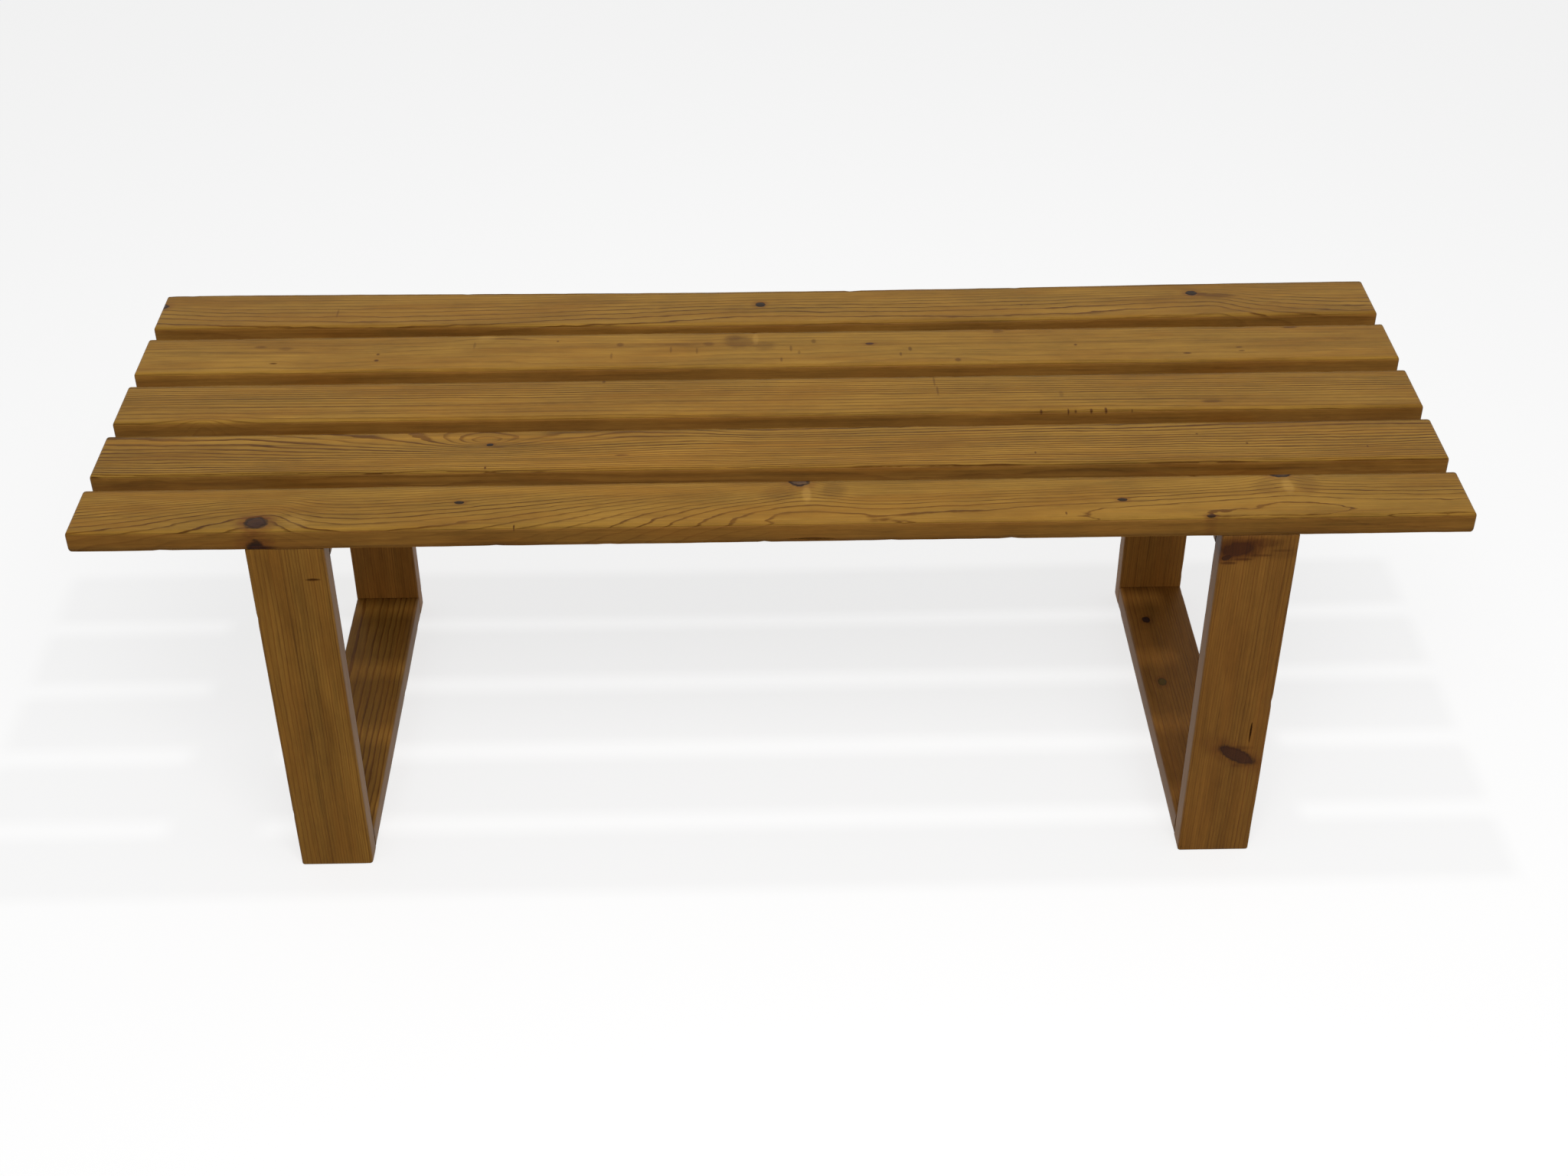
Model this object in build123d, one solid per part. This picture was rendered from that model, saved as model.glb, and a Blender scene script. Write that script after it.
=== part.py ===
from build123d import *
from math import atan2, cos, degrees, pi, sqrt
import os

# A slatted pine bench: flat slats screwed from below onto two box-shaped leg frames with dowelled corners.
# Millimetres. X runs along the bench, Y from the front (-Y) to the back, Z up from the floor.
# The origin is on the floor under the middle of the seat.

# Seat slats
slat_count = 5
slat_length = 1250.0
slat_width = 70.0
slat_thickness = 20.0
slat_gap = 21.5
slat_arris = 2.5  # radius along the long edges
slat_end_arris = 2.0  # radius round the ends

# Leg frames: two uprights and two rails each, all of one planed board
frame_board_width = 70.0
frame_board_thickness = 25.0
upright_length = 382.0
frame_span = 940.0  # over the outer edges of the two frames, along the bench
upright_setback = 0.5  # uprights stand this far inside the edges of the outer slats
frame_arris = 2.5  # radius along the long edges
upright_end_arris = 1.5

# Dowels: a pair in each frame corner, blind at both ends, with glue grooves
dowel_diameter = 8.0
dowel_length = 35.0
dowel_spacing = 36.0
dowel_chamfer = 1.0
dowel_grooves = 10
dowel_groove_depth = 0.4
dowel_clearance = 0.1  # round the dowel in its hole
dowel_glue_room = 0.5  # past each end of the dowel
dowel_wood_left = 9.5  # of the upright, past the end of the hole

# Slat screws: slotted and countersunk, two up through each top rail into each slat
screw_diameter = 4.0
screw_head_diameter = 8.0
screw_head_height = 2.0
screw_slot_width = 1.0
screw_slot_depth = 1.1
screw_tip_length = 5.0
screw_tip_diameter = 0.8
screw_spacing = 36.0
screw_clearance = 0.1  # round the screw and its head
screw_tip_room = 1.0
screw_wood_left = 5.0  # of the slat, above the screw's tip
screw_to_dowel = 3.0  # wood between a screw's head and a dowel's hole

# Small round parts and the holes that take them are many-sided, which keeps the model light
dowel_sides = 20
screw_sides = 12

# What follows from the sizes above
seat_depth = slat_count * slat_width + (slat_count - 1) * slat_gap
frame_depth = seat_depth - 2 * upright_setback
rail_length = frame_depth - 2 * frame_board_thickness
frame_middle = (frame_span - frame_board_width) / 2
top_rail_floor = upright_length - frame_board_thickness
dowel_in_upright = frame_board_thickness - dowel_wood_left - dowel_glue_room
dowel_in_rail = dowel_length - dowel_in_upright
screw_length = frame_board_thickness + slat_thickness - screw_wood_left
screw_reach = rail_length / 2 - dowel_in_rail - dowel_glue_room - screw_to_dowel - screw_head_diameter / 2

SIDES = {"left": -1, "right": 1}
ENDS = {"front": -1, "rear": 1}
RAILS = {"top": top_rail_floor, "foot": 0.0}
SLATS = range(1, slat_count + 1)  # from the front


def eased_board(length_x, length_y, length_z, arris_x, arris_y, arris_z):
    """A board standing on Z = 0, its edges rounded: three rounded outlines, one along each axis, in common."""
    along_x = extrude(Plane.YZ * RectangleRounded(length_y, length_z, arris_x), length_x / 2, both=True)
    along_y = extrude(Plane.XZ * RectangleRounded(length_x, length_z, arris_y), length_y / 2, both=True)
    along_z = extrude(RectangleRounded(length_x, length_y, arris_z), length_z / 2, both=True)
    return Pos(0, 0, length_z / 2) * (along_x & along_y & along_z)


def rod(radius, length, sides):
    """A many-sided rod standing on Z = 0."""
    return extrude(RegularPolygon(radius, sides), length)


def tapered_rod(radius, end_radius, length, sides):
    """A many-sided rod on Z = 0 that narrows upwards."""
    slope = atan2((radius - end_radius) * cos(pi / sides), length)
    return extrude(RegularPolygon(radius, sides), length, taper=degrees(slope))


def pair(middle, spacing):
    """Two places, one either side of a middle."""
    return [middle - spacing / 2, middle + spacing / 2]


def slat_middle(index):
    """Y of a slat's centre line."""
    return (index - 1) * (slat_width + slat_gap) - (seat_depth - slat_width) / 2


def screw_line(index):
    """Y of a slat's screws: its centre line, but clear of the dowels in the ends of the rail."""
    return max(-screw_reach, min(screw_reach, slat_middle(index)))


def screw_places(side, index):
    """Where the heads of one slat's two screws lie in the underside of one top rail."""
    return [Pos(x, screw_line(index), top_rail_floor) for x in pair(side * frame_middle, screw_spacing)]


def dowel_places(side, end, rail):
    """The joint between one rail and one upright, at its two dowels, with Z pointing into the rail."""
    height = RAILS[rail] + frame_board_thickness / 2
    joint = end * rail_length / 2
    return [
        Location(Plane((x, joint, height), x_dir=(1, 0, 0), z_dir=(0, -end, 0)))
        for x in pair(side * frame_middle, dowel_spacing)
    ]


def dowel():
    """A grooved dowel with chamfered ends, along Z, with Z = 0 where its two boards meet."""
    radius = dowel_diameter / 2
    middle = rod(radius, dowel_length - 2 * dowel_chamfer, dowel_sides)
    end = tapered_rod(radius, radius - dowel_chamfer, dowel_chamfer, dowel_sides)
    blank = middle + Pos(0, 0, dowel_length - 2 * dowel_chamfer) * end + Rot(X=180) * end
    groove_side = dowel_groove_depth * sqrt(2)
    groove = Rot(Z=45) * Box(groove_side, groove_side, 2 * dowel_length)
    blank -= PolarLocations(radius, dowel_grooves) * groove
    return Pos(0, 0, dowel_chamfer - dowel_in_upright) * blank


def dowel_hole():
    """The space drilled for one dowel through the meeting faces of its two boards."""
    radius = dowel_diameter / 2 + dowel_clearance
    depth = dowel_length + 2 * dowel_glue_room
    return Pos(0, 0, -dowel_in_upright - dowel_glue_room) * rod(radius, depth, dowel_sides)


def screw_body(clearance, tip_room):
    """A countersunk screw, point up and head on Z = 0, or with clearances the hole that takes it."""
    shank = screw_diameter / 2 + clearance
    head = screw_head_diameter / 2 + clearance
    straight = screw_length + tip_room - screw_tip_length
    body = tapered_rod(head, shank, screw_head_height, screw_sides)
    body += rod(shank, straight, screw_sides)
    tip = tapered_rod(shank, screw_tip_diameter / 2 + clearance, screw_tip_length, screw_sides)
    return body + Pos(0, 0, straight) * tip


def screw():
    """A slotted countersunk wood screw."""
    slot = Box(screw_head_diameter, screw_slot_width, 2 * screw_slot_depth)
    return screw_body(0, 0) - slot


def slat(index):
    """One seat slat on the frames, with the blind holes of its screws."""
    board = eased_board(slat_length, slat_width, slat_thickness, slat_arris, slat_end_arris, slat_end_arris)
    board = Pos(0, slat_middle(index), upright_length) * board
    hole = screw_body(screw_clearance, screw_tip_room)
    for side in SIDES.values():
        for place in screw_places(side, index):
            board -= place * hole
    return board


def upright(side, end):
    """One upright, its wide faces to the front and back, with the blind holes of its four dowels."""
    board = eased_board(
        frame_board_width,
        frame_board_thickness,
        upright_length,
        upright_end_arris,
        upright_end_arris,
        frame_arris,
    )
    board = Pos(side * frame_middle, end * (frame_depth - frame_board_thickness) / 2, 0) * board
    for rail in RAILS:
        for place in dowel_places(side, end, rail):
            board -= place * dowel_hole()
    return board


def rail(side, name):
    """One rail, flat and square-ended between the uprights, drilled for dowels and, at the top, for screws."""
    outline = Plane.XZ * RectangleRounded(frame_board_width, frame_board_thickness, frame_arris)
    board = extrude(outline, rail_length / 2, both=True)
    board = Pos(side * frame_middle, 0, RAILS[name] + frame_board_thickness / 2) * board
    for end in ENDS.values():
        for place in dowel_places(side, end, name):
            board -= place * dowel_hole()
    if name == "top":
        hole = screw_body(screw_clearance, screw_tip_room)
        for index in SLATS:
            for place in screw_places(side, index):
                board -= place * hole
    return board


def save(name, *pieces):
    """Write one named piece, or one group of like fasteners, to its STEP file."""
    solids = [solid for piece in pieces for solid in piece.solids()]
    export_step(solids[0] if len(solids) == 1 else Compound(children=solids), f"parts/{name}.step")


os.makedirs("parts", exist_ok=True)

for index in SLATS:
    save(f"slat_{index}", slat(index))

for side_name, side in SIDES.items():
    for end_name, end in ENDS.items():
        save(f"{side_name}_{end_name}_upright", upright(side, end))
        for rail_name in RAILS:
            pegs = [place * dowel() for place in dowel_places(side, end, rail_name)]
            save(f"{side_name}_{end_name}_{rail_name}_dowels", *pegs)
    for rail_name in RAILS:
        save(f"{side_name}_{rail_name}_rail", rail(side, rail_name))
    for index in SLATS:
        save(f"{side_name}_slat_{index}_screws", *[place * screw() for place in screw_places(side, index)])

print(f"bench {slat_length:.0f} x {seat_depth:.0f} x {upright_length + slat_thickness:.0f} mm")
print(f"screws {screw_length:.1f} mm long, dowels {dowel_in_upright:.1f} mm into the uprights")
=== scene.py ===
import math
import random

import bmesh
import bpy
from mathutils import Matrix, Vector, noise


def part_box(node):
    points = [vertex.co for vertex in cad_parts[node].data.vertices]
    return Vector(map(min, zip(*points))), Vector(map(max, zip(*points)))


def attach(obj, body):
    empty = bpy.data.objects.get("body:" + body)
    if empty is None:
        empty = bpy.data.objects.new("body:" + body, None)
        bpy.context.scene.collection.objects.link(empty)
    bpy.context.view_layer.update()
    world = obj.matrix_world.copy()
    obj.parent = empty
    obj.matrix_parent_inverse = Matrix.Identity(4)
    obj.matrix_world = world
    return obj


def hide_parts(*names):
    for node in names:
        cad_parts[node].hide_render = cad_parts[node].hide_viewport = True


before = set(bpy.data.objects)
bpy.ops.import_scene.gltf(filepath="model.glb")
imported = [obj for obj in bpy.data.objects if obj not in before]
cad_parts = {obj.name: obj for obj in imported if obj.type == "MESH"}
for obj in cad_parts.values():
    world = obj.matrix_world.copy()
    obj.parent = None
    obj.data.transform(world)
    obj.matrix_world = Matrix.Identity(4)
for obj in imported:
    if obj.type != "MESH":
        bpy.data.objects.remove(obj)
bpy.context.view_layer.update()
scene = bpy.context.scene


# ---- Standpoint ----
# The bench is seen from just under eye height, about a metre and a half in front of its seat, looking
# down on it, with a normal lens. The eye's place is in metres and its angles are degrees.
eye = Vector((-0.021, -1.7833, 1.4799))
eye_turned_right = 1.074
eye_tilted_down = 36.25
eye_rolled = -0.205
lens_length = 49.37  # millimetres, on a sensor as wide as small film
sensor_width = 36

camera = bpy.data.objects.new("camera", bpy.data.cameras.new("camera"))
camera.data.lens = lens_length
camera.data.sensor_width = sensor_width
camera.matrix_world = (
    Matrix.Translation(eye)
    @ Matrix.Rotation(math.radians(-eye_turned_right), 4, "Z")
    @ Matrix.Rotation(math.radians(90 - eye_tilted_down), 4, "X")
    @ Matrix.Rotation(math.radians(eye_rolled), 4, "Z")
)
scene.collection.objects.link(camera)
scene.camera = camera


# ---- Foot rails ----
# Each leg frame stands on a short flat board of planed pine. Its long edges are rounded over, its ends
# are cut square, and two dowels in each end hold it between the uprights.
mm = 0.001
planing = 6 * mm  # the mesh has a row of points about this often along a board
strip_width = 9 * mm  # and about this often across it
fewest_strips = 3
arris_segments = 4
rail_arris = 2.5 * mm
dowel_hole = 8.2 * mm  # across
glue_room = 0.5 * mm  # past each end of a dowel
hole_sides = 32
same_point = 0.001 * mm  # points nearer than this are one, as where a cut crosses a row of the mesh


def planed_board(node, arris, end_arris):
    """A board in the place of a CAD node: a box with rounded edges and a fine grid on its faces."""
    low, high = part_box(node)
    size = high - low
    grain = max(range(3), key=lambda axis: size[axis])
    mesh = bmesh.new()
    shape = Matrix.Translation((low + high) / 2) @ Matrix.Diagonal(size).to_4x4()
    bmesh.ops.create_cube(mesh, size=1, matrix=shape)

    def along(edge):
        return abs(edge.verts[1].co[grain] - edge.verts[0].co[grain]) > size[grain] / 2

    def at_an_end(edge):
        ends = (low[grain], high[grain])
        return all(min(abs(vert.co[grain] - end) for end in ends) < same_point for vert in edge.verts)

    rounding = dict(affect="EDGES", profile=0.5, material=-1, segments=arris_segments)
    bmesh.ops.bevel(mesh, geom=list(filter(along, mesh.edges)), offset=arris, **rounding)
    if end_arris:
        bmesh.ops.bevel(mesh, geom=list(filter(at_an_end, mesh.edges)), offset=end_arris, **rounding)
    for axis in range(3):
        if axis == grain:
            continue
        strips = max(fewest_strips, round(size[axis] / strip_width))
        normal = Vector([float(i == axis) for i in range(3)])
        for i in range(1, strips):
            place = low + normal * size[axis] * i / strips
            everything = [*mesh.verts, *mesh.edges, *mesh.faces]
            bmesh.ops.bisect_plane(mesh, geom=everything, plane_co=place, plane_no=normal)
    for vert in mesh.verts:
        for axis in range(3):
            vert.co[axis] = min(max(vert.co[axis], low[axis]), high[axis])
    rows = round(size[grain] / planing)
    bmesh.ops.subdivide_edges(mesh, edges=list(filter(along, mesh.edges)), cuts=rows, use_grid_fill=True)
    return mesh


def turned(mesh, outline, sides, start, way):
    """Add a turned shape to a mesh.

    Its outline is radii and heights along its axis, which runs from start in the direction of way.
    """
    shape = bmesh.new()
    points = [shape.verts.new((radius, 0, height)) for radius, height in outline]
    lines = [shape.edges.new(ends) for ends in zip(points, points[1:])]
    full_turn = dict(axis=(0, 0, 1), angle=2 * math.pi, steps=sides, use_merge=True)
    bmesh.ops.spin(shape, geom=points + lines, **full_turn)
    bmesh.ops.remove_doubles(shape, verts=shape.verts, dist=same_point)
    bmesh.ops.recalc_face_normals(shape, faces=shape.faces)
    stand = Matrix.Translation(start) @ way.to_track_quat("Z", "Y").to_matrix().to_4x4()
    bmesh.ops.transform(shape, matrix=stand, verts=shape.verts)
    carried = bpy.data.meshes.new("turned")
    shape.to_mesh(carried)
    shape.free()
    mesh.from_mesh(carried)
    bpy.data.meshes.remove(carried)


def pair_of(node):
    """The axes of a node's two dowels or screws: each one's start and end."""
    low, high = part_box(node)
    run = 1 if high.y - low.y > high.z - low.z else 2
    radius = (high[3 - run] - low[3 - run]) / 2
    for x in (low.x + radius, high.x - radius):
        start, end = (low + high) / 2, (low + high) / 2
        start.x = end.x = x
        start[run], end[run] = low[run], high[run]
        yield start, end


def drill_for_dowels(cutters, *nodes):
    """A round hole for each dowel, a little wider and longer than the dowel."""
    for node in nodes:
        for start, end in pair_of(node):
            way = (end - start).normalized()
            depth = (end - start).length + 2 * glue_room
            outline = [(0, 0), (dowel_hole / 2, 0), (dowel_hole / 2, depth), (0, depth)]
            turned(cutters, outline, hole_sides, start - way * glue_room, way)


def crack(cutters, place, *half_sizes):
    """A split in the wood: a long thin hollow, opening at a point of the surface."""
    shape = Matrix.Translation(place) @ Matrix.Diagonal(Vector(half_sizes)).to_4x4()
    bmesh.ops.create_icosphere(cutters, subdivisions=3, radius=1, matrix=shape)


def shape_object(name, mesh):
    """A mesh object at the origin."""
    shape = bpy.data.meshes.new(name)
    mesh.to_mesh(shape)
    mesh.free()
    made = bpy.data.objects.new(name, shape)
    scene.collection.objects.link(made)
    return made


def cut_out(mesh, cutters):
    """The mesh less the cutters."""
    board, cutter = shape_object("uncut", mesh), shape_object("cutter", cutters)
    cut = board.modifiers.new("cut", "BOOLEAN")
    cut.operation, cut.solver, cut.object = "DIFFERENCE", "MANIFOLD", cutter
    shape = bpy.data.meshes.new_from_object(board.evaluated_get(bpy.context.evaluated_depsgraph_get()))
    left = bmesh.new()
    left.from_mesh(shape)
    bmesh.ops.remove_doubles(left, verts=left.verts, dist=same_point)
    for spent in (board, cutter):
        bpy.data.objects.remove(spent)
    return left


rub_depth = 0.35 * mm
rub_reach = 4 * mm  # from an arris
rub_patches, rub_grit = 18, 90  # to the metre, as are the planer's waves
wave_depth = 0.08 * mm
planer_waves = 14
face_skin = 0.1 * mm  # points nearer to a face than this move with it
dent_reach, dent_depth = (3, 8), (0.25, 0.8)  # least and most, in millimetres


def wear(mesh, low, high, seed, dents=10):
    """Use rubs the long arrises down unevenly and dents them, and planing leaves the faces wavy."""
    dice = random.Random(seed)
    size, middle = high - low, (low + high) / 2
    grain = max(range(3), key=lambda axis: size[axis])
    sides = [axis for axis in range(3) if axis != grain]
    knocks = []
    for i in range(dents):
        place = middle.copy()
        place[grain] = dice.uniform(low[grain], high[grain])
        for axis in sides:
            place[axis] += dice.choice((-0.5, 0.5)) * size[axis]
        knocks.append((place, dice.uniform(*dent_reach) * mm, dice.uniform(*dent_depth) * mm))
    for vert in mesh.verts:
        start = vert.co.copy()
        inward = Vector((0, 0, 0))
        depths = []
        for axis in sides:
            depths.append(size[axis] / 2 - abs(start[axis] - middle[axis]))
            inward[axis] = -math.copysign(1, start[axis] - middle[axis])
        near = max(0, 1 - max(depths) / rub_reach)
        shift = Vector((0, 0, 0))
        if near:
            rough = 0.5 + noise.noise(start * rub_patches + Vector((seed, 0, 0)))
            rough += 0.5 * noise.noise(start * rub_grit)
            shift += inward.normalized() * near * rub_depth * max(0, rough)
            for place, reach, depth in knocks:
                away = (start - place).length / reach
                if away < 1:
                    shift += inward.normalized() * depth * (1 - away * away) ** 2
        for axis, depth in zip(sides, depths):
            if depth < face_skin:
                wave = 0.5 + 0.5 * noise.noise(start * planer_waves + Vector((0, seed, axis)))
                shift[axis] += inward[axis] * wave_depth * wave
        vert.co += shift


sharp_angle = math.radians(38)


def finish_piece(name, mesh, material, slot, *nodes):
    """The mesh as a piece that stands for CAD nodes, smooth but for its sharp edges."""
    for face in mesh.faces:
        face.smooth = True
    for edge in mesh.edges:
        edge.smooth = not edge.is_manifold or edge.calc_face_angle(0) < sharp_angle
    piece = shape_object(name, mesh)
    piece.data.materials.append(material)
    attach(piece, "root")
    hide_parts(*nodes)


class Value:
    """A number or a colour in a material. Arithmetic on it adds the nodes that work it out."""

    def __init__(self, tree, socket):
        self.tree, self.socket = tree, socket

    def node(self, kind, sockets, output=0, **settings):
        """Any node: its settings are set first, then the values or links of its sockets."""
        made = self.tree.nodes.new(kind)
        for name, setting in settings.items():
            setattr(made, name, setting)
        for key, value in sockets.items():
            if isinstance(value, Value):
                self.tree.links.new(value.socket, made.inputs[key])
            else:
                made.inputs[key].default_value = value
        return Value(self.tree, made.outputs[output])

    def into(self, socket):
        """Drive a socket with this value."""
        self.tree.links.new(self.socket, socket)

    def maths(self, operation, *values):
        return self.node("ShaderNodeMath", dict(enumerate(values)), operation=operation)

    def __add__(self, other):
        return self.maths("ADD", self, other)

    def __sub__(self, other):
        return self.maths("SUBTRACT", self, other)

    def __rsub__(self, other):
        return self.maths("SUBTRACT", other, self)

    def __mul__(self, other):
        return self.maths("MULTIPLY", self, other)

    def __truediv__(self, other):
        return self.maths("DIVIDE", self, other)

    def __rtruediv__(self, other):
        return self.maths("DIVIDE", other, self)

    def __pow__(self, other):
        return self.maths("POWER", self, other)

    def __abs__(self):
        return self.maths("ABSOLUTE", self)

    def larger(self, other):
        return self.maths("MAXIMUM", self, other)

    def smaller(self, other):
        return self.maths("MINIMUM", self, other)

    def whole(self):
        return self.maths("FLOOR", self)

    def part(self):
        return self.maths("FRACT", self)

    def step(self, start, end):
        """0 at one value, 1 at another, and smooth between them."""
        sockets = {0: self, 1: start, 2: end}
        return self.node("ShaderNodeMapRange", sockets, interpolation_type="SMOOTHSTEP")

    def between(self, first, second):
        """One colour where this number is 0, another where it is 1, and a mix of them between."""
        return self.node("ShaderNodeMix", {0: self, 6: first, 7: second}, output=2, data_type="RGBA")

    def blend(self, other, share):
        """This colour going over to another."""
        return share.between(self, other)

    def shade(self, share):
        """This colour made lighter or darker by a number."""
        grey = self.node("ShaderNodeCombineColor", {0: share, 1: share, 2: share})
        sockets = {0: 1.0, 6: self, 7: grey}
        return self.node("ShaderNodeMix", sockets, output=2, data_type="RGBA", blend_type="MULTIPLY")


def srgb(red, green, blue):
    """A colour as it is seen on a screen, from 0 to 255, as the light that it gives back."""
    def light(level):
        level /= 255
        return level / 12.92 if level <= 0.04045 else ((level + 0.055) / 1.055) ** 2.4
    return (light(red), light(green), light(blue), 1.0)


def new_material(name):
    """A material, its surface shader, and a value to start its nodes from."""
    material = bpy.data.materials.new(name)
    material.use_nodes = True
    tree = material.node_tree
    return material, tree.nodes["Principled BSDF"], Value(tree, None)


core_brown = (62, 37, 27)


def knot(along, across, width, length=1.3, turn=0.0, lean=(0.0, 0.0), core=core_brown, rim=1.0, halo=1.0):
    """A branch that the board was sawn through, in millimetres from the middle of its upper or front face.

    length is its length over its width, and turn is how far that is turned from the grain in degrees. lean
    is how far it slants along and across the board for each millimetre of depth. rim is how dark its bark
    is, and halo is how red the wood round it is.
    """
    form = dict(along=along, across=across, width=width, length=length, turn=turn, lean=lean)
    return dict(form, core=core, rim=rim, halo=halo)


# Knots. Edges are in half widths from a knot's middle, shares run from 0 to 1, and rises are millimetres.
knot_rag = 0.16
knot_edge = (1.12, 0.88)
knot_rise, knot_polish = 0.04, 0.08
ring_pair = 2.6  # two of a knot's rings, in millimetres
ring_edge, ring_share = (0.3, 0.9), 0.2
heartwood_share = 0.95
bark_middle, bark_edge = 0.96, (0.3, 0.08)
bark_blotch, bark_least, bark_share, bark_sink = 0.35, 0.75, 0.92, 0.15
halo_edge = (2.6, 1.0)
halo_blotch, halo_least, halo_share = 0.5, 0.55, 0.7


def add_knot(look, branch, along, across, from_face, rag, blotch):
    """Put a knot into a wood's colour, relief and roughness: heartwood, a rim of bark and a halo."""
    colour, bump, rough = look
    width, turn = branch["width"], math.radians(branch["turn"])
    off_along = along - branch["along"] - from_face * branch["lean"][0]
    off_across = across - branch["across"] - from_face * branch["lean"][1]
    off_long = off_along * math.cos(turn) + off_across * math.sin(turn)
    off_wide = off_across * math.cos(turn) - off_along * math.sin(turn)
    off_long, off_wide = off_long / (width * branch["length"] / 2), off_wide / (width / 2)
    away = (off_long * off_long + off_wide * off_wide) ** 0.5 + rag * knot_rag
    inside = away.step(*knot_edge)
    around = away.step(*halo_edge) * (blotch * halo_blotch + halo_least).smaller(1.0)
    around = around * (1 - inside) * branch["halo"]
    bark = abs(away - bark_middle).step(*bark_edge) * (blotch * bark_blotch + bark_least) * branch["rim"]
    rings = (away * (width / ring_pair)).part().step(*ring_edge) * ring_share
    heartwood = rings.between(srgb(*branch["core"]), knot_bark)
    colour = colour.blend(knot_halo, around.larger(0.0) * halo_share)
    colour = colour.blend(heartwood, inside * heartwood_share)
    colour = colour.blend(knot_bark, bark.larger(0.0).smaller(1.0) * bark_share)
    return colour, bump - bark * bark_sink + inside * knot_rise, rough - inside * knot_polish


# Stains, light places, and painted shade at the splits' mouths
stain_and_shade_rag, stain_and_shade_blotch = 0.12, 0.2
stain_and_shade_edge = (1.25, 0.45)


def add_stain_and_shade(colour, stain_and_shade_mark, along, across, deep, rag, blotch):
    """Put a dark or light place into a wood's colour. The dark places at the splits' mouths are painted
    shade.
    """
    along_at, across_at, length, width, dark, *height = stain_and_shade_mark
    off_along, off_across = (along - along_at) / (length / 2), (across - across_at) / (width / 2)
    away = off_along * off_along + off_across * off_across
    if height:
        off_deep = (deep - height[0]) / (width / 2)
        away = away + off_deep * off_deep
    away = away ** 0.5 + rag * stain_and_shade_rag + blotch * stain_and_shade_blotch
    # Dark places take this brown, both for stains and for the painted shade at the splits' mouths.
    tint = stain_and_shade_brown if dark > 0 else flame_wood
    return colour.blend(tint, away.step(*stain_and_shade_edge) * (1 - (1 - abs(dark)) ** 2))


# Growth rings. A cloud is a length and a width in millimetres, and how much detail it has.
wander_cloud, jag_cloud, fine_jag_cloud = (170, 48), (34, 9), (12, 3.5)
jag_rings, fine_jag_rings = 0.14, 0.05
heart_reach = 30  # nearer than this to the heart, the late wood is thin
late_end = 0.94  # of a year's growth, where the late wood stops
year_contrast, faintest_year, darkest_year = 1.3, 0.4, 1.25
side_depths, side_fade = (-0.5, -2.5), 0.7  # from the show face down: a board's sides are plainer
plain_fade = 0.55

# Tone. Shades are shares of the colour's own brightness.
fibre_cloud, hair_cloud, mottle_cloud = (70, 1.6, 3.0), (9, 0.45), (28, 12, 2.0)
broad_cloud, warm_cloud, band_cloud = (200, 30), (120, 16, 2.0), (350, 5, 2.0)
streak_cloud, rag_cloud, blotch_cloud = (16, 0.8), (5, 3.5, 2.0), (14, 6, 2.0)
streak_edge = (0.75, 1.2)
amber_edge, amber_share = (-0.5, 0.8), 0.7
edge_depths, edge_share = (-1.0, -2.2), 0.45  # a board's sides are redder too
mean_shade, year_shade, fibre_shade, hair_shade = 1.03, -0.07, 0.23, 0.13
broad_shade, mottle_shade, streak_shade = 0.2, 0.11, 0.26
end_soak, end_skin, end_shade = 1.6, 0.6, 0.22  # varnish soaks into the end grain

# Relief in millimetres, and how rough the varnish is
late_rise, hair_rise, streak_sink = 0.05, 0.012, 0.03
varnish_rough, late_polish, fibre_rough = 0.45, -0.06, 0.02
varnish_gloss = 0.08


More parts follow.
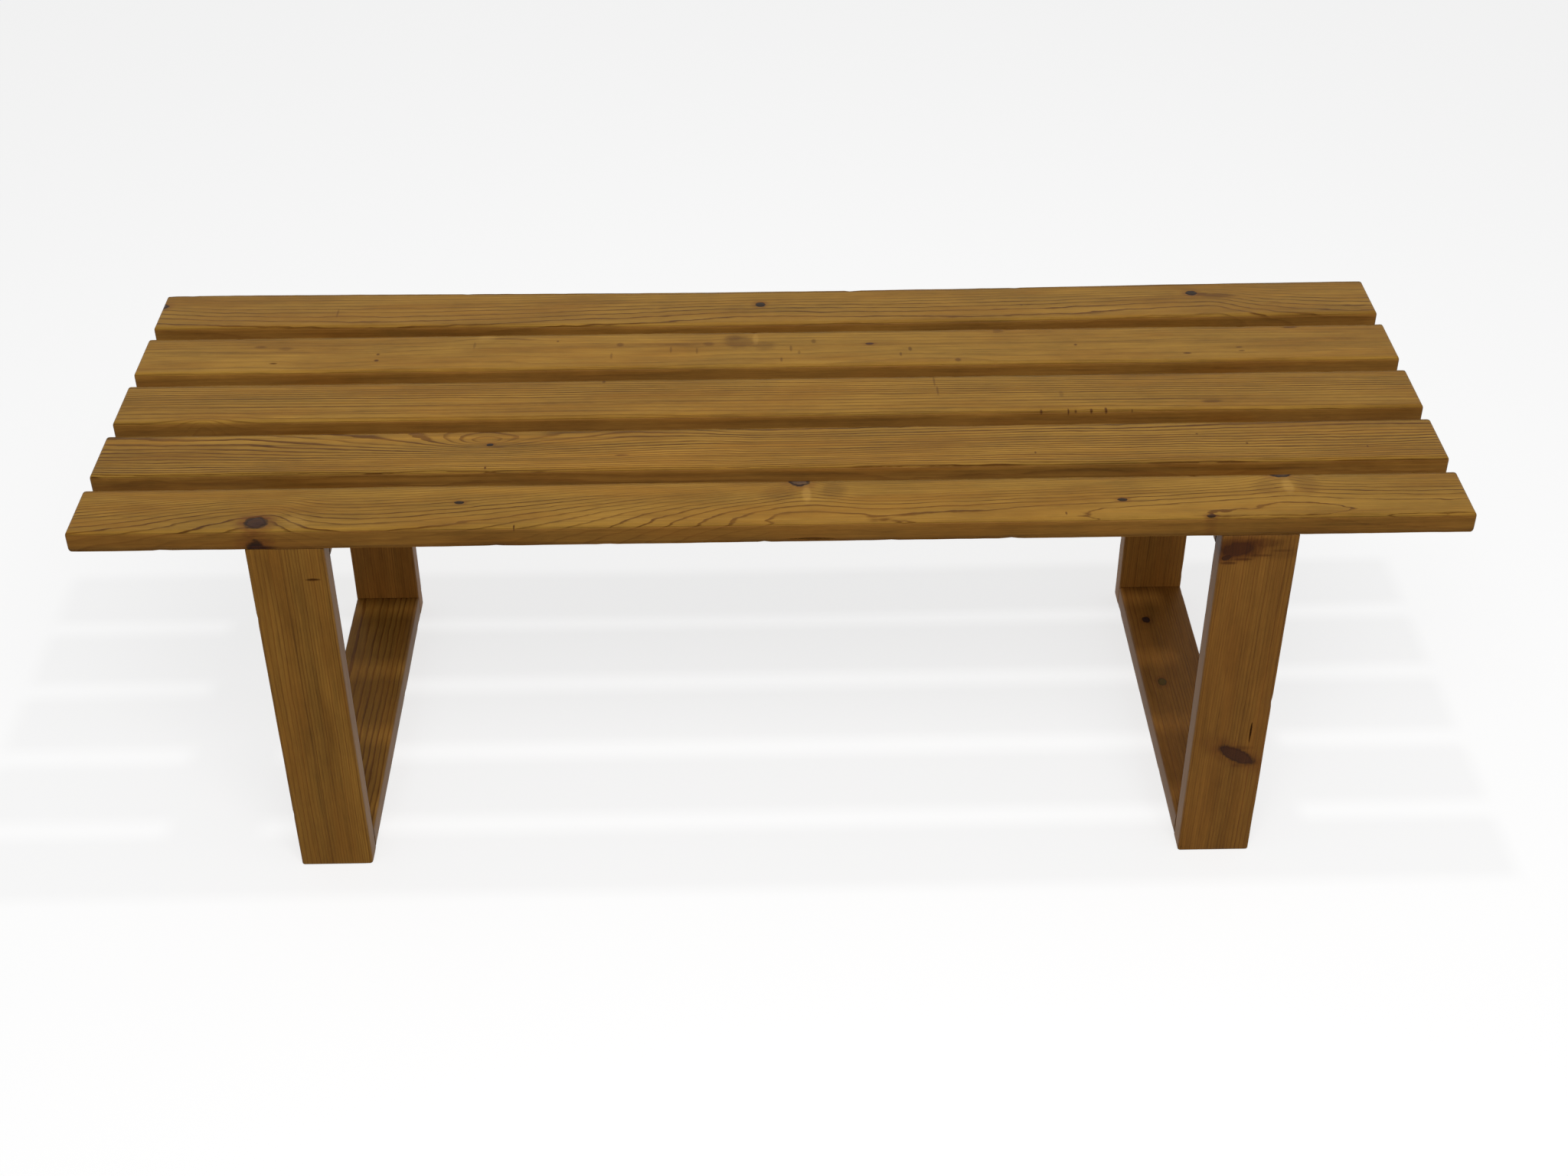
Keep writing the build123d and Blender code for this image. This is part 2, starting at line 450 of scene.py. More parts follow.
def pine(
    name, node, heart, growth, slant=(0.0, 0.0), wander=1.0, jag=1.0, swells=(), knots=(), stains_and_painted_shade=(),
    late_share=0.35, line=1.0, plain=(200, 300), bands=0.1, tone=1.0, warmth=0.0, seed=0.0, face=1,
):
    """Varnished pine, as a solid that the board was sawn from, so that the figure runs round every edge.

    Millimetres. heart is where the tree's heart lies, across the board and through it from its middle, and
    slant is how much that changes for each millimetre along the board. growth over the distance across
    from the heart is the space between two rings. wander and jag are how far the rings stray, over a long
    way and a short way. A swell is where a branch has pushed the rings outwards: its place along and
    across, how many rings, and how far it reaches to the left, to the right and across.

    late_share is the dark late wood's share of a year's growth, and line is how dark it is. It fades
    between the two places across the board in plain, which lie off the board by default. bands is for long
    stripes, tone makes the board lighter or darker, and warmth makes it redder. A dark or light mark is a
    place along and across, a length, a width, how dark it is (below 0 for a light one) and, if it doesn't
    go right through, its height from the board's middle. The dark marks at the splits' mouths are painted
    shade. face is -1 where the show face is the one to the front.
    """
    low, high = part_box(node)
    size, middle = (high - low) / mm, (low + high) / 2
    grain = max(range(3), key=lambda axis: size[axis])
    thin = min(range(3), key=lambda axis: size[axis])
    wide = 3 - grain - thin
    material, varnish, start = new_material(name)

    place = start.node("ShaderNodeTexCoord", {}, output=3)
    place = start.node("ShaderNodeVectorMath", {0: place, 1: middle}, operation="SUBTRACT")
    place = start.node("ShaderNodeVectorMath", {0: place, 3: 1 / mm}, operation="SCALE")
    apart = place.node("ShaderNodeSeparateXYZ", {0: place})
    axes = [Value(apart.tree, output) for output in apart.socket.node.outputs]
    along, across, deep = axes[grain], axes[wide], axes[thin] * face
    from_face = deep - size[thin] / 2  # 0 on the show face, and less inside the board

    def cloud(length, width, detail=1.0):
        """A soft random field, near -1 to 1, that is length long and width wide."""
        places = {0: along / length + seed, 1: across / width, 2: deep / width}
        spot = start.node("ShaderNodeCombineXYZ", places)
        sockets = {"Vector": spot, "Scale": 1.0, "Detail": detail}
        return (start.node("ShaderNodeTexNoise", sockets) - 0.5) * 3.0

    def bell(along_at, across_at, left, right, reach):
        """1 in the middle of a swell, falling away to nothing."""
        off = along - along_at
        off = (off / right).larger(off / -left)
        side = (across - across_at) / reach
        return 1 / (off * off + side * side + 1)

    # Growth rings, counted from the heart
    sideways = across - (along * slant[0] + heart[0])
    inwards = deep - (along * slant[1] + heart[1])
    count = (sideways * sideways + inwards * inwards) / (2 * growth)
    for along_at, across_at, lift, *reaches in swells:
        count = count - bell(along_at, across_at, *reaches) * lift
    jags = cloud(*jag_cloud) * jag_rings + cloud(*fine_jag_cloud) * fine_jag_rings
    count = count + cloud(*wander_cloud) * wander + jags * jag
    year = count.part()
    share = (abs(sideways) / heart_reach).smaller(1.0) * late_share
    late = year.step(late_end - share, late_end) * year.step(1.0, late_end)
    which_year = {"W": count.whole() + seed}
    chance = start.node("ShaderNodeTexWhiteNoise", which_year, noise_dimensions="1D")
    late = (late * (chance ** year_contrast + faintest_year) * line).smaller(darkest_year)
    late = late * (1 - from_face.step(*side_depths) * side_fade) * (1 - across.step(*plain) * plain_fade)

    # Colour: pale spring wood, amber autumn wood, fine fibre, short resin streaks and broad clouds of tone
    fibre, hair, mottle = cloud(*fibre_cloud), cloud(*hair_cloud), cloud(*mottle_cloud)
    broad, warm, band = cloud(*broad_cloud), cloud(*warm_cloud), cloud(*band_cloud)
    streak = cloud(*streak_cloud).step(*streak_edge)
    colour = late.between(spring_wood, autumn_wood)
    colour = colour.blend(amber_wood, warm.step(*amber_edge) * amber_share)
    colour = colour.blend(edge_wood, (from_face.step(*edge_depths) * edge_share).larger(warmth))
    bump = late * late_rise + hair * hair_rise - streak * streak_sink
    rough = late * late_polish + fibre * fibre_rough + varnish_rough

    # Knots, stained spots, light places, and painted shade at the splits' mouths
    rag, blotch = cloud(*rag_cloud), cloud(*blotch_cloud)
    look = colour, bump, rough
    for branch in knots:
        look = add_knot(look, branch, along, across, from_face, rag, blotch)
    colour, bump, rough = look
    for stain_and_shade_mark in stains_and_painted_shade:
        colour = add_stain_and_shade(colour, stain_and_shade_mark, along, across, deep, rag, blotch)

    # Tone
    shade = year * year_shade + fibre * fibre_shade + hair * hair_shade + broad * broad_shade
    shade = (shade + mottle * mottle_shade + band * bands + mean_shade) * tone
    shade = shade * (1 - streak * streak_shade)
    end = abs(along).step(size[grain] / 2 - end_soak, size[grain] / 2 - end_skin)
    shade = shade * (1 - end * end_shade)

    colour.shade(shade).into(varnish.inputs["Base Color"])
    rough.into(varnish.inputs["Roughness"])
    relief = start.node("ShaderNodeBump", {"Strength": 1.0, "Distance": mm, "Height": bump})
    relief.into(varnish.inputs["Normal"])
    varnish.inputs["Specular IOR Level"].default_value = varnish_gloss
    return material


spring_wood, autumn_wood, amber_wood = srgb(152, 113, 45), srgb(92, 55, 6), srgb(134, 91, 29)
edge_wood, knot_halo, knot_bark = srgb(137, 85, 39), srgb(104, 56, 26), srgb(34, 17, 8)
# The dark brown below serves stains and also the painted shade at the splits' mouths.
stain_and_shade_brown, flame_wood = srgb(70, 33, 10), srgb(200, 156, 80)
foot_rail_figures = {
    "left": dict(heart=(-75, -40), growth=550, line=1.9, warmth=0.35, seed=15.0),
    "right": dict(
        heart=(-95, -30), growth=340, warmth=0.6, seed=16.0,
        knots=[
            knot(130.5, -14.5, 8, core=(50, 32, 34)),
            knot(19.5, -14.5, 9, core=(96, 76, 34), rim=0.45),
        ],
    ),
}
for side, figure in foot_rail_figures.items():
    node = f"{side}_foot_rail"
    foot_rail = planed_board(node, rail_arris, 0)
    low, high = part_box(node)
    wear(foot_rail, low, high, seed=len(side))
    holes = bmesh.new()
    drill_for_dowels(holes, f"{side}_front_foot_dowels", f"{side}_rear_foot_dowels")
    foot_rail = cut_out(foot_rail, holes)
    wood = pine(f"pine_{node}", node, wander=0.35, tone=0.95, **figure)
    finish_piece(f"foot_rail_{side}", foot_rail, wood, "pine_frame", node)


# ---- Uprights ----
# Two boards of the same stock stand at the front and back of each frame, wide face out. They run from
# the floor to the underside of the slats, with the rails butted and dowelled against them.
upright_arris = 2.5 * mm
upright_end_arris = 1.5 * mm
# The rear uprights' higher tone is painted light: it lightens the boards that stand in the shade under the
# seat.
upright_tones_and_painted_light = {"front": 1.06, "rear": 1.4}
upright_hearts = {"left": (-88, 20), "right": (90, 34)}
upright_figures = {
    "left_front": dict(
        warmth=0.35,
        # The last mark darkens the split's mouth: painted shade.
        stains_and_painted_shade=[(0, -4.3, 800, 1.6, 0.2), (0, 33, 800, 1.2, 0.2), (157.3, 21, 3.2, 15, 0.45)],
    ),
    "right_front": dict(
        warmth=0.55,
        knots=[
            knot(176, -20, 15, length=1.9, turn=80, core=(74, 42, 20), rim=0.3, halo=1.3),
            knot(167, -29, 5, length=1.6, turn=70, core=(58, 34, 18), rim=0.7),
            knot(-67, 8.7, 14.5, length=2.7, turn=-59, core=(74, 41, 24), rim=0.4),
        ],
        stains_and_painted_shade=[
            (177, -20, 28, 46, 0.42), (183, 4, 12, 40, 0.3), (161, -27, 3, 18, 0.4),
            (165, -14, 3, 20, 0.4), (169, 2, 3, 24, 0.3), (174, 20, 3, 20, 0.2), (172, 16, 16, 44, 0.1),
            (-58, 9, 6, 30, 0.18), (-80, 14, 5, 22, 0.12), (-50, -18, 40, 26, 0.06),
            # The next mark darkens the split's mouth: painted shade.
            (-39, 18.7, 27, 2.2, 0.45),
        ],
    ),
    "left_rear": dict(warmth=0.6),
    "right_rear": dict(warmth=0.6),
}
# Splits: across from the middle and up from the floor, and half their width, depth and height
# A dark mark in each upright's list lies over its split's mouth: painted shade.
upright_cracks = {
    "left_front": [(22 * mm, 348.3 * mm, 6.5 * mm, 2.5 * mm, 1.0 * mm)],
    "right_front": [(18.7 * mm, 152 * mm, 0.8 * mm, 3.0 * mm, 13.0 * mm)],
}
for side in ("left", "right"):
    for end in ("front", "rear"):
        node = f"{side}_{end}_upright"
        upright = planed_board(node, upright_arris, upright_end_arris)
        low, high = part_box(node)
        wear(upright, low, high, seed=len(node))
        holes = bmesh.new()
        drill_for_dowels(holes, f"{side}_{end}_top_dowels", f"{side}_{end}_foot_dowels")
        middle = (low + high) / 2
        for across, height, *half_sizes in upright_cracks.get(f"{side}_{end}", []):
            crack(holes, Vector((middle.x + across, low.y, height)), *half_sizes)
        upright = cut_out(upright, holes)
        wood = pine(
            f"pine_{node}", node, heart=upright_hearts[side], growth=270, slant=(0.01, 0.01), wander=0.5,
            line=0.9, tone=upright_tones_and_painted_light[end], seed=23.0 + len(node), face=-1,
            **upright_figures[f"{side}_{end}"],
        )
        finish_piece(f"upright_{side}_{end}", upright, wood, "pine_frame", node)


# ---- Dowels ----
# Beech pegs, fluted along their length to let the glue past, with their ends eased so that they start
# in their holes. Two hold each corner of a leg frame, blind at both ends.
dowel_radius = 4.0 * mm
dowel_ease = 1.0 * mm
flute_depth = 0.35 * mm
dowel_flutes = 20
points_per_flute = 4


def fluted_dowel(mesh, start, end):
    """Add a dowel: a fluted outline drawn out along its length, narrower at its ends."""
    before = len(mesh.verts)
    way = end - start
    points = dowel_flutes * points_per_flute
    bmesh.ops.create_circle(mesh, cap_ends=True, segments=points, radius=dowel_radius)
    mesh.verts.ensure_lookup_table()
    rim = mesh.verts[before:]
    for vert in rim[::points_per_flute]:
        vert.co *= 1 - flute_depth / dowel_radius
    face = rim[0].link_faces[0]
    eased = 1 - dowel_ease / dowel_radius
    bmesh.ops.scale(mesh, vec=(eased, eased, 1), verts=rim)
    keep_start = True
    steps = [(dowel_ease, 1 / eased), (way.length - 2 * dowel_ease, 1), (dowel_ease, eased)]
    for rise, widen in steps:
        drawn = bmesh.ops.extrude_face_region(mesh, geom=[face], use_keep_orig=keep_start)["geom"]
        tip = [part for part in drawn if isinstance(part, bmesh.types.BMVert)]
        if not keep_start:
            bmesh.ops.delete(mesh, geom=[face], context="FACES_KEEP_BOUNDARY")
        face = next(part for part in drawn if isinstance(part, bmesh.types.BMFace))
        bmesh.ops.translate(mesh, vec=(0, 0, rise), verts=tip)
        bmesh.ops.scale(mesh, vec=(widen, widen, 1), verts=tip)
        keep_start = False
    mesh.verts.ensure_lookup_table()
    stand = Matrix.Translation(start) @ way.to_track_quat("Z", "Y").to_matrix().to_4x4()
    bmesh.ops.transform(mesh, matrix=stand, verts=mesh.verts[before:])


fleck_grain, tone_grain = (2200, 120, 2200), (300, 24, 300)  # to the metre, long in the way of the dowels
fleck_edge, tone_edge = (0.60, 0.68), (0.35, 0.65)
fleck_share, fleck_depth = 0.6, 0.1 * mm
beech_rough, fleck_rough = 0.55, 0.1


def beech():
    """Pale straight-grained beech with its short dark flecks, which run along the dowels."""
    material, wood, start = new_material("beech")
    place = start.node("ShaderNodeTexCoord", {}, output=3)
    grain = start.node("ShaderNodeMapping", {"Vector": place, "Scale": fleck_grain})
    fleck = start.node("ShaderNodeTexNoise", {"Vector": grain, "Scale": 1.0, "Detail": 2.0})
    grain = start.node("ShaderNodeMapping", {"Vector": place, "Scale": tone_grain})
    tone = start.node("ShaderNodeTexNoise", {"Vector": grain, "Scale": 1.0, "Detail": 1.0})
    colour = tone.step(*tone_edge).between(beech_pale, beech_warm)
    dark = fleck.step(*fleck_edge)
    colour.blend(beech_fleck, dark * fleck_share).into(wood.inputs["Base Color"])
    (dark * fleck_rough + beech_rough).into(wood.inputs["Roughness"])
    relief = start.node("ShaderNodeBump", {"Strength": 1.0, "Distance": fleck_depth, "Height": 1 - dark})
    relief.into(wood.inputs["Normal"])
    return material


beech_pale, beech_warm, beech_fleck = srgb(206, 170, 128), srgb(190, 148, 106), srgb(140, 96, 62)
dowel_wood = beech()
for side in ("left", "right"):
    for end in ("front", "rear"):
        for rail in ("top", "foot"):
            node = f"{side}_{end}_{rail}_dowels"
            dowels = bmesh.new()
            for start, finish in pair_of(node):
                fluted_dowel(dowels, start, finish)
            bmesh.ops.recalc_face_normals(dowels, faces=dowels.faces)
            finish_piece(f"dowels_{side}_{end}_{rail}", dowels, dowel_wood, "dowel_beech", node)


# ---- Top rails ----
# The same board again, flat under the slats between the uprights. The slats' screws go up through it,
# two to a slat, their heads sunk in its underside.
slat_numbers = range(1, 6)
screw_head = 8.0 * mm  # across
screw_shank = 4.0 * mm
screw_countersink = 2.0 * mm
screw_taper = 5.0 * mm
screw_ease = 0.1 * mm
screw_room = 1 * mm  # drilled past each end of a screw


def drill_for_screws(cutters, *nodes):
    """A countersunk blind hole for each screw, a little wider than the screw."""
    for node in nodes:
        for start, end in pair_of(node):
            head, shank = screw_head / 2 + screw_ease, screw_shank / 2 + screw_ease
            length = (end - start).length
            outline = [(0, -screw_room), (head, -screw_room), (head, 0), (shank, screw_countersink)]
            outline += [(shank, length - screw_taper), (shank / 2, length + screw_room)]
            outline += [(0, length + screw_room)]
            turned(cutters, outline, hole_sides, start, end - start)


for side in ("left", "right"):
    node = f"{side}_top_rail"
    top_rail = planed_board(node, rail_arris, 0)
    low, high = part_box(node)
    wear(top_rail, low, high, seed=3 + len(side))
    holes = bmesh.new()
    drill_for_dowels(holes, f"{side}_front_top_dowels", f"{side}_rear_top_dowels")
    drill_for_screws(holes, *[f"{side}_slat_{number}_screws" for number in slat_numbers])
    top_rail = cut_out(top_rail, holes)
    wood = pine(f"pine_{node}", node, heart=(10, 46), growth=200, warmth=0.35, seed=31.0 + len(side))
    finish_piece(f"top_rail_{side}", top_rail, wood, "pine_frame", node)


# ---- Slats ----
# Five flat boards of thinner pine make the seat, with a finger's width between them. Their edges are
# rounded over, and each is held from below, so no fixing shows on top.
slat_arris = 3.5 * mm
slat_end_arris = 3.0 * mm
bent_slat = 5
slat_bend = 6.5 * mm
# Splits: along, across from the middle, up from the floor, and half their length, width and height
# A dark mark in each slat's list lies over its split's mouth: painted shade.
slat_cracks = {
    1: [(32.5 * mm, -35 * mm, 385.6 * mm, 22 * mm, 3.0 * mm, 0.9 * mm)],
    4: [(-491 * mm, -16.8 * mm, 402 * mm, 4 * mm, 0.5 * mm, 0.8 * mm)],
}
black = (24, 15, 10)
slats = [
    dict(
        heart=(-46, -31.6), growth=340, slant=(0.04, 0.0), wander=0.3, jag=1.2, late_share=0.26, line=1.7,
        plain=(2, 22), tone=0.98, seed=1.0,
        swells=[
            (-450, -6, 4.9, 130, 32, 42), (30, 38, 5, 24, 20, 26), (90, -20, -0.34, 18, 130, 60),
            (30, -20, 12, 210, 3000, 70), (420, -20, 1.5, 150, 400, 200), (308, -24, 0.5, 30, 32, 12),
            (395, -36, 0.4, 20, 20, 10), (482, -25, 0.35, 34, 30, 12), (463, 38, 4, 28, 22, 24),
        ],
        knots=[
            knot(-459, -21.4, 16.5, length=1.15, lean=(0.0, 0.45), halo=1.5),
            knot(-282, 6.3, 4.5, length=1.8, core=black),
            knot(24, 34, 16, length=1.1, core=(98, 72, 52), rim=1.4),
            knot(313, -3.9, 4.5, length=1.8, core=black),
            knot(388, -31.6, 4.0, length=1.9, core=black),
            knot(463, 37, 15, length=1.2, core=(92, 70, 52), rim=1.4),
        ],
        stains_and_painted_shade=[
            (-230, -33, 2, 7, 0.6, 9), (260, -24, 2, 5, 0.5), (400, -31, 60, 2, 0.3),
            (30, 13, 9, 30, -0.16), (466, 15, 11, 30, -0.14), (54, 18, 26, 30, 0.16),
            (4, 14, 34, 26, 0.14), (484, 18, 24, 34, 0.15), (445, 14, 24, 28, 0.12),
            # The mark at 32 along darkens the split's mouth in the front face: painted shade.
            (-424, -20, 22, 24, -0.1), (32, -36, 48, 4, 0.7, -6.4), (-455, -36, 26, 7, 0.6, -8),
        ],
    ),
    dict(
        heart=(62, -32), growth=330, jag=1.3, late_share=0.42, line=1.75, plain=(-26, -60), bands=0.32,
        seed=2.0,
        swells=[
            (-267, 18, 3.4, 30, 26, 9), (-270, 24, 2.6, 60, 70, 20), (-290, 10, 2.0, 200, 260, 60),
            (0, 36, 4, 90, 900, 26), (205, 42, 1.6, 50, 45, 14), (-170, 34, 1.2, 30, 22, 12),
        ],
        knots=[knot(-263, 10.7, 4, length=1.5, core=black, rim=0.7)],
        stains_and_painted_shade=[
            (-264, -28.5, 2, 6, 0.6), (-139, -10, 16, 2.5, 0.4), (399, 13, 3, 3, 0.5),
            (244, -15, 2, 4, 0.5), (443, -4, 3, 4, 0.4), (554, -12, 2, 4, 0.4), (-255, 7, 14, 3, 0.3),
        ],
    ),
    dict(
        heart=(-72, -30), growth=330, slant=(-0.008, 0.0), wander=0.3, late_share=0.4, line=1.5,
        plain=(6, -14), seed=3.0,
        swells=[(-539, -36, 2.6, 16, 16, 8)],
        stains_and_painted_shade=[
            (-390, -8.5, 520, 2.6, 0.28), (40, -7.5, 560, 2.4, 0.2), (-430, -18.5, 330, 2.6, 0.24),
            (-210, -22, 260, 2.2, 0.16), (320, -14, 260, 2.8, 0.24), (160, 24, 2.5, 20, 0.25),
            (162, 6, 2.5, 18, 0.25), (424, -20, 22, 6, 0.3), (-162, 31, 4, 5, 0.4),
            (258, -34, 3, 7, 0.5, 10), (284, -34, 2, 9, 0.6, 10), (291, -35, 3, 6, 0.5, 10),
            (306, -34, 3, 8, 0.6, 10), (320, -33, 3, 9, 0.6, 10), (345, -35, 2, 6, 0.4, 10),
            (281, -3, 5, 12, 0.15),
        ],
    ),
    dict(
        heart=(-80, -60), growth=620, wander=0.8, line=0.3, tone=1.04, seed=4.0,
        swells=[(-284, 30, 1, 30, 60, 12)],
        knots=[knot(101, 7.4, 4, length=2.0, core=(70, 36, 20), rim=0.4)],
        stains_and_painted_shade=[
            # The first mark darkens the split's mouth: painted shade.
            (-491, -16.8, 8, 3, 0.5), (-389.6, -1.4, 4, 4, 0.5), (-389.6, -13.5, 5, 4, 0.6),
            (-509, 16, 14, 5, 0.25), (-483, 12, 16, 8, 0.2), (-470, 5, 300, 7, 0.13),
            (-120, 11, 240, 8, 0.12), (-30, 14, 34, 26, 0.22), (-60, 11, 12, 10, 0.25),
            (-90, 10, 40, 5, 0.15), (-149, 12, 8, 8, 0.3), (-212, 20, 3, 3, 0.5),
            (-5, 6, 26, 20, 0.16), (-13, 20, 7, 22, -0.12), (-36, 22, 18, 12, 0.16),
            (-284, 29, 22, 14, -0.12), (-262, 27, 40, 3, 0.25), (-242, 24, 28, 3, 0.2),
            (-295, 14, 3, 14, 0.18), (141, -4, 4, 9, 0.35), (131, -14, 3, 8, 0.35),
            (187, -27, 7, 7, 0.35), (307, 0, 4, 4, 0.5), (416, -19.4, 9, 4, 0.5),
            (470, -9, 8, 3, 0.4), (471, -16, 7, 3, 0.4), (529, 29.6, 18, 4, 0.5),
            (232, 30, 12, 10, 0.2), (-157, -10, 3, 14, 0.22), (-98, 0, 2.5, 14, 0.22),
            (-72, -3, 2.5, 14, 0.2), (330, 4.4, 560, 6, 0.13), (45, 14, 5, 9, 0.25),
            (12, -22, 3, 9, 0.3), (22, 0, 3, 12, 0.25), (30, -8, 3, 8, 0.2),
        ],
    ),
    dict(
        heart=(-75, -30), growth=520, wander=0.4, jag=1.2, late_share=0.26, line=1.4, plain=(-6, 14),
        seed=5.0,
        swells=[(-640, 0, 2.4, 60, 90, 60), (0, -20, 2.4, 260, 400, 80), (455, 0, 3.2, 150, 40, 46)],
        knots=[
            knot(-626, 10.6, 10),
            knot(-7.6, -0.6, 8.5, length=1.1, core=black),
            knot(441.5, 12.5, 9, length=1.2, core=black),
        ],
        stains_and_painted_shade=[
            (-442, -7, 2.5, 20, 0.2), (466, 7, 42, 11, 0.3), (453, 11, 16, 5, 0.35), (262, -8, 3, 3, 0.3),
        ],
    ),
]
for number, figure in enumerate(slats, start=1):
    node = f"slat_{number}"
    slat = planed_board(node, slat_arris, slat_end_arris)
    low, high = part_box(node)
    wear(slat, low, high, seed=40 + number, dents=24)
    if number == bent_slat:
        for vert in slat.verts:
            vert.co.y -= slat_bend * math.cos(math.pi * vert.co.x / (high.x - low.x)) ** 2
    holes = bmesh.new()
    drill_for_screws(holes, f"left_{node}_screws", f"right_{node}_screws")
    middle = (low + high) / 2
    for along, across, height, *half_sizes in slat_cracks.get(number, []):
        crack(holes, Vector((along, middle.y + across, height)), *half_sizes)
    slat = cut_out(slat, holes)
    wood = pine(f"pine_{node}", node, **figure)
    finish_piece(f"seat_slat_{number}", slat, wood, "pine_seat", node)


# ---- Screws ----
# Slotted countersunk wood screws, zinc plated: a plain shank, then a thread cut down to the point. They
# hold the slats from below, so only their heads show, in the undersides of the top rails.
screw_sides = 24
head_rim = 0.15 * mm
thread_core = 1.45 * mm
thread_root = 0.1 * mm  # how far the thread starts inside the core
thread_pitch = 1.8 * mm
thread_start = 14 * mm
thread_width = 0.5 * mm
thread_point = 0.12  # the thread's share of its width at the point
slot_width = 1.0 * mm
slot_depth = 1.1 * mm
point_width = 0.3 * mm


def wood_screw(length):
    """One screw, its head at the origin and its point up."""
    head, shank = screw_head / 2, screw_shank / 2
    mesh = bmesh.new()
    outline = [(0, 0), (head, 0), (head, head_rim), (shank, screw_countersink), (shank, thread_start)]
    outline += [(thread_core, thread_start + thread_pitch / 2), (thread_core, length - screw_taper)]
    outline += [(point_width, length - point_width), (0, length)]
    turned(mesh, outline, screw_sides, Vector((0, 0, 0)), Vector((0, 0, 1)))
    slot = bmesh.new()
    slot_size = Vector((2 * screw_head, slot_width, 2 * slot_depth))
    bmesh.ops.create_cube(slot, size=1, matrix=Matrix.Diagonal(slot_size).to_4x4())
    mesh = cut_out(mesh, slot)
    before = len(mesh.verts)
    foot, lowest = thread_core - thread_root, thread_start + thread_pitch
    ridge = [(foot, -thread_width), (shank, 0), (foot, thread_width)]
    first = mesh.faces.new([mesh.verts.new((radius, 0, lowest + rise)) for radius, rise in ridge])
    turns = (length - thread_start - 2 * thread_pitch) / thread_pitch
    swept = bmesh.ops.spin(
        mesh, geom=list(first.edges), axis=(0, 0, 1), dvec=(0, 0, thread_pitch / screw_sides),
        angle=2 * math.pi * turns, steps=round(turns * screw_sides),
    )
    mesh.faces.new([part for part in swept["geom_last"] if isinstance(part, bmesh.types.BMVert)])
    mesh.verts.ensure_lookup_table()
    thread = mesh.verts[before:]
    for vert in thread:
        left = (length - vert.co.z) / screw_taper
        if left < 1:
            vert.co.xy *= max(thread_point, left)
    faces = list({face for vert in thread for face in vert.link_faces})
    bmesh.ops.recalc_face_normals(mesh, faces=faces)
    return mesh


dull_patches, zinc_grit = 420.0, 3000.0  # to the metre
dull_edge, dull_rough, zinc_rough = (0.4, 0.65), 0.25, 0.3
grit_rise, grit_share = 0.05 * mm, 0.4


def zinc():
    """Thin bright zinc plate, yellowed and dulled in patches."""
    material, plate, start = new_material("zinc")
    place = start.node("ShaderNodeTexCoord", {}, output=3)
    patch = start.node("ShaderNodeTexNoise", {"Vector": place, "Scale": dull_patches, "Detail": 3.0})
    patch = patch.step(*dull_edge)
    grit = start.node("ShaderNodeTexNoise", {"Vector": place, "Scale": zinc_grit, "Detail": 1.0})
    patch.between(zinc_bright, zinc_dull).into(plate.inputs["Base Color"])
    (patch * dull_rough + zinc_rough).into(plate.inputs["Roughness"])
    relief = start.node("ShaderNodeBump", {"Strength": grit_share, "Distance": grit_rise, "Height": grit})
    relief.into(plate.inputs["Normal"])
    plate.inputs["Metallic"].default_value = 1.0
    return material


zinc_bright, zinc_dull = srgb(206, 200, 180), srgb(150, 140, 112)
zinc_plate = zinc()
turns_of_slots = random.Random(9)
low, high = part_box("left_slat_1_screws")
pattern = bpy.data.meshes.new("screw")
wood_screw(high.z - low.z).to_mesh(pattern)
for side in ("left", "right"):
    for number in slat_numbers:
        node = f"{side}_slat_{number}_screws"
        screws = bmesh.new()
        for start, end in pair_of(node):
            before = len(screws.verts)
            screws.from_mesh(pattern)
            screws.verts.ensure_lookup_table()
            turn = Matrix.Rotation(turns_of_slots.uniform(0, math.pi), 4, "Z")
            stand = Matrix.Translation(start) @ turn
            bmesh.ops.transform(screws, matrix=stand, verts=screws.verts[before:])
        finish_piece(f"screws_{side}_slat_{number}", screws, zinc_plate, "zinc_screw", node)
bpy.data.meshes.remove(pattern)


# ---- Daylight and floor ----
# A plain white room, with a wide soft light high in front of the bench and a small lamp over its right
# half, which throws the gaps of the seat on the rails below. The floor shows white and takes the shadow.
room_light = 0.36
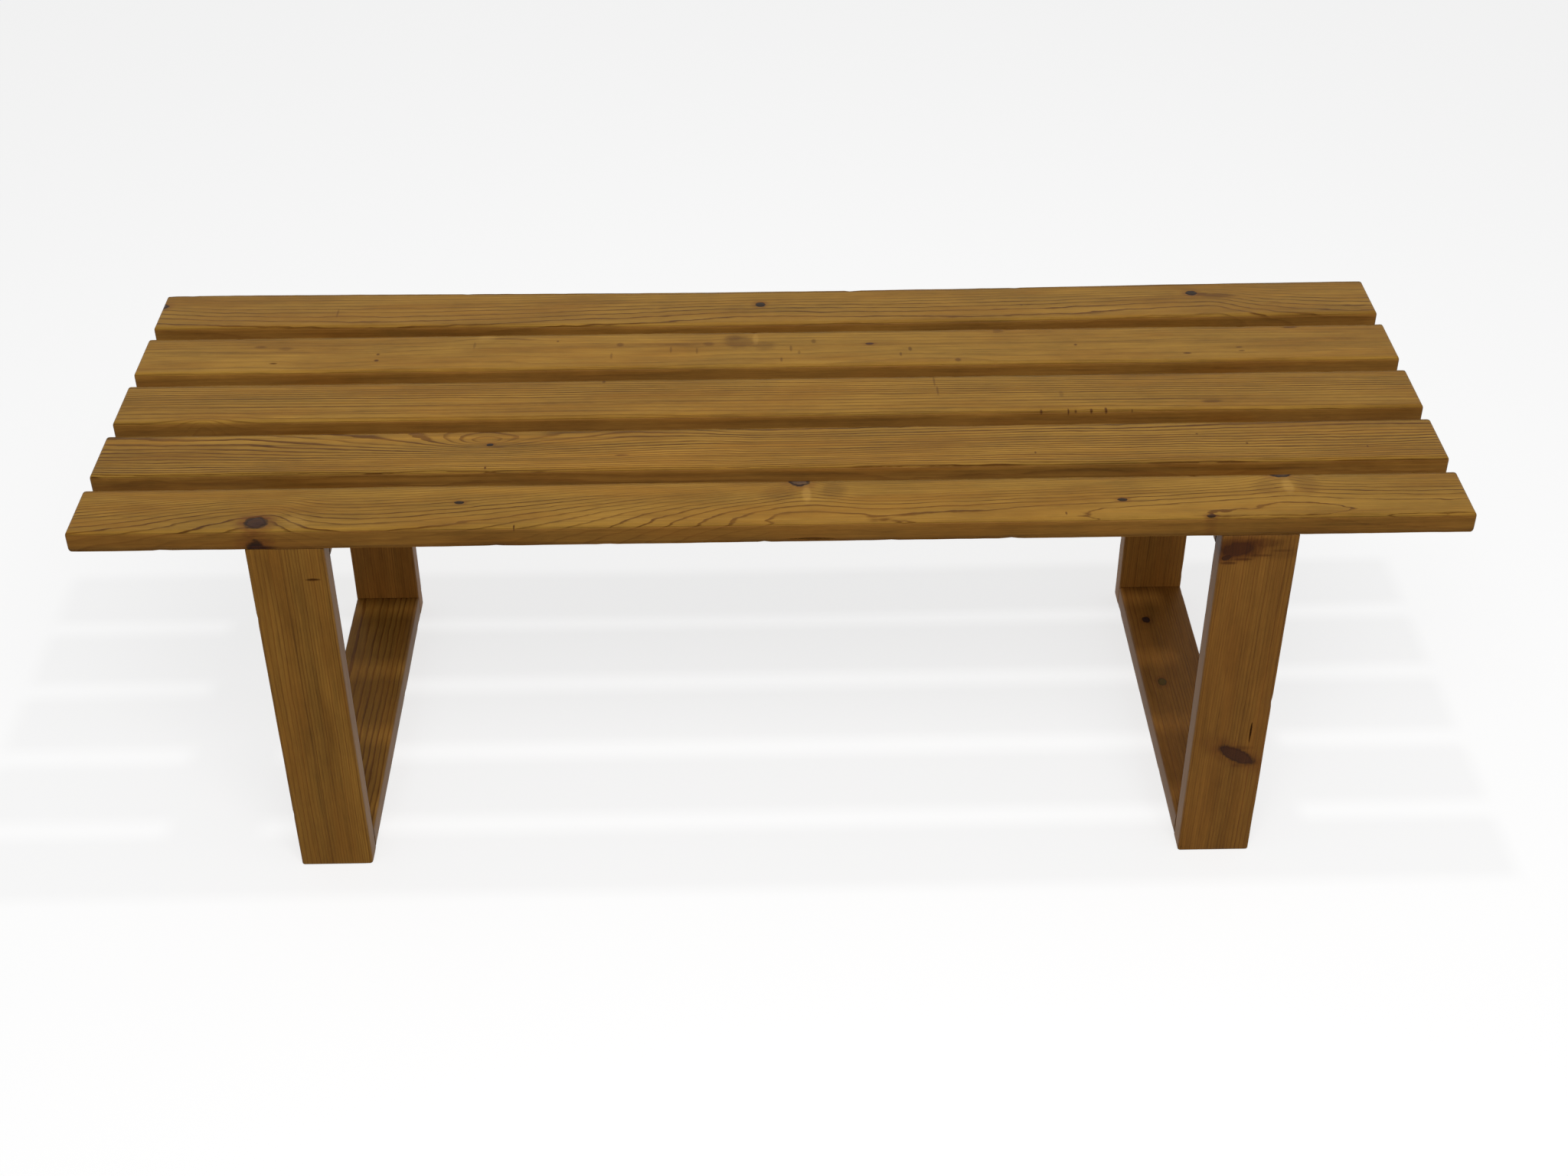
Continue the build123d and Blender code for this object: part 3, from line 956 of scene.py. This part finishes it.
# A light's share is how bright it makes white paper that lies on the seat, where 1 is white.
lights = {
    "window": dict(place=Vector((0.15, -1.75, 2.45)), size=(1.8, 1.0), share=0.33),
    "lamp": dict(place=Vector((0.18, -0.03, 2.1)), size=(0.09, 0.09), share=0.25),
}
floor_size = 14.0
floor_tone = 0.36
floor_bounce = 0.24  # its tone in the light that it throws back up
floor_glow = 0.72
floor_roughness = 0.9

seat_middle = (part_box("slat_3")[0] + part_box("slat_3")[1]) / 2
for name, light in lights.items():
    made = bpy.data.objects.new(name, bpy.data.lights.new(name, "AREA"))
    made.data.shape = "RECTANGLE"
    made.data.size, made.data.size_y = light["size"]
    way = light["place"] - seat_middle
    slope = way.z / way.length
    made.data.energy = light["share"] * math.pi**2 * way.length_squared / slope
    turn = way.to_track_quat("Z", "Y").to_matrix().to_4x4()
    made.matrix_world = Matrix.Translation(light["place"]) @ turn
    scene.collection.objects.link(made)


def shown_ray(tree):
    """1 for what the camera sees, straight or in a reflection, and 0 for light that falls on the bench."""
    rays = tree.nodes.new("ShaderNodeLightPath")
    straight, mirrored, through = [
        Value(tree, rays.outputs[f"Is {kind} Ray"]) for kind in ("Camera", "Glossy", "Transmission")
    ]
    return straight.larger(mirrored).larger(through)


world = bpy.data.worlds.new("room")
scene.world = world
world.use_nodes = True
room = world.node_tree.nodes["Background"]
room.inputs["Color"].default_value = (1, 1, 1, 1)
strength = shown_ray(world.node_tree) * (1 - room_light) + room_light
strength.into(room.inputs["Strength"])

floor_mesh = bmesh.new()
bmesh.ops.create_grid(floor_mesh, x_segments=1, y_segments=1, size=floor_size / 2)
floor = shape_object("floor", floor_mesh)
floor_paint, paint, start = new_material("floor")
bounce = shown_ray(start.tree) * (floor_tone - floor_bounce) + floor_bounce
bounce.into(paint.inputs["Base Color"])
paint.inputs["Roughness"].default_value = floor_roughness
paint.inputs["Specular IOR Level"].default_value = 0.0
glow = shown_ray(start.tree) * floor_glow
glow.into(paint.inputs["Emission Strength"])
paint.inputs["Emission Color"].default_value = (1, 1, 1, 1)
floor.data.materials.append(floor_paint)

scene.view_settings.view_transform = "Standard"
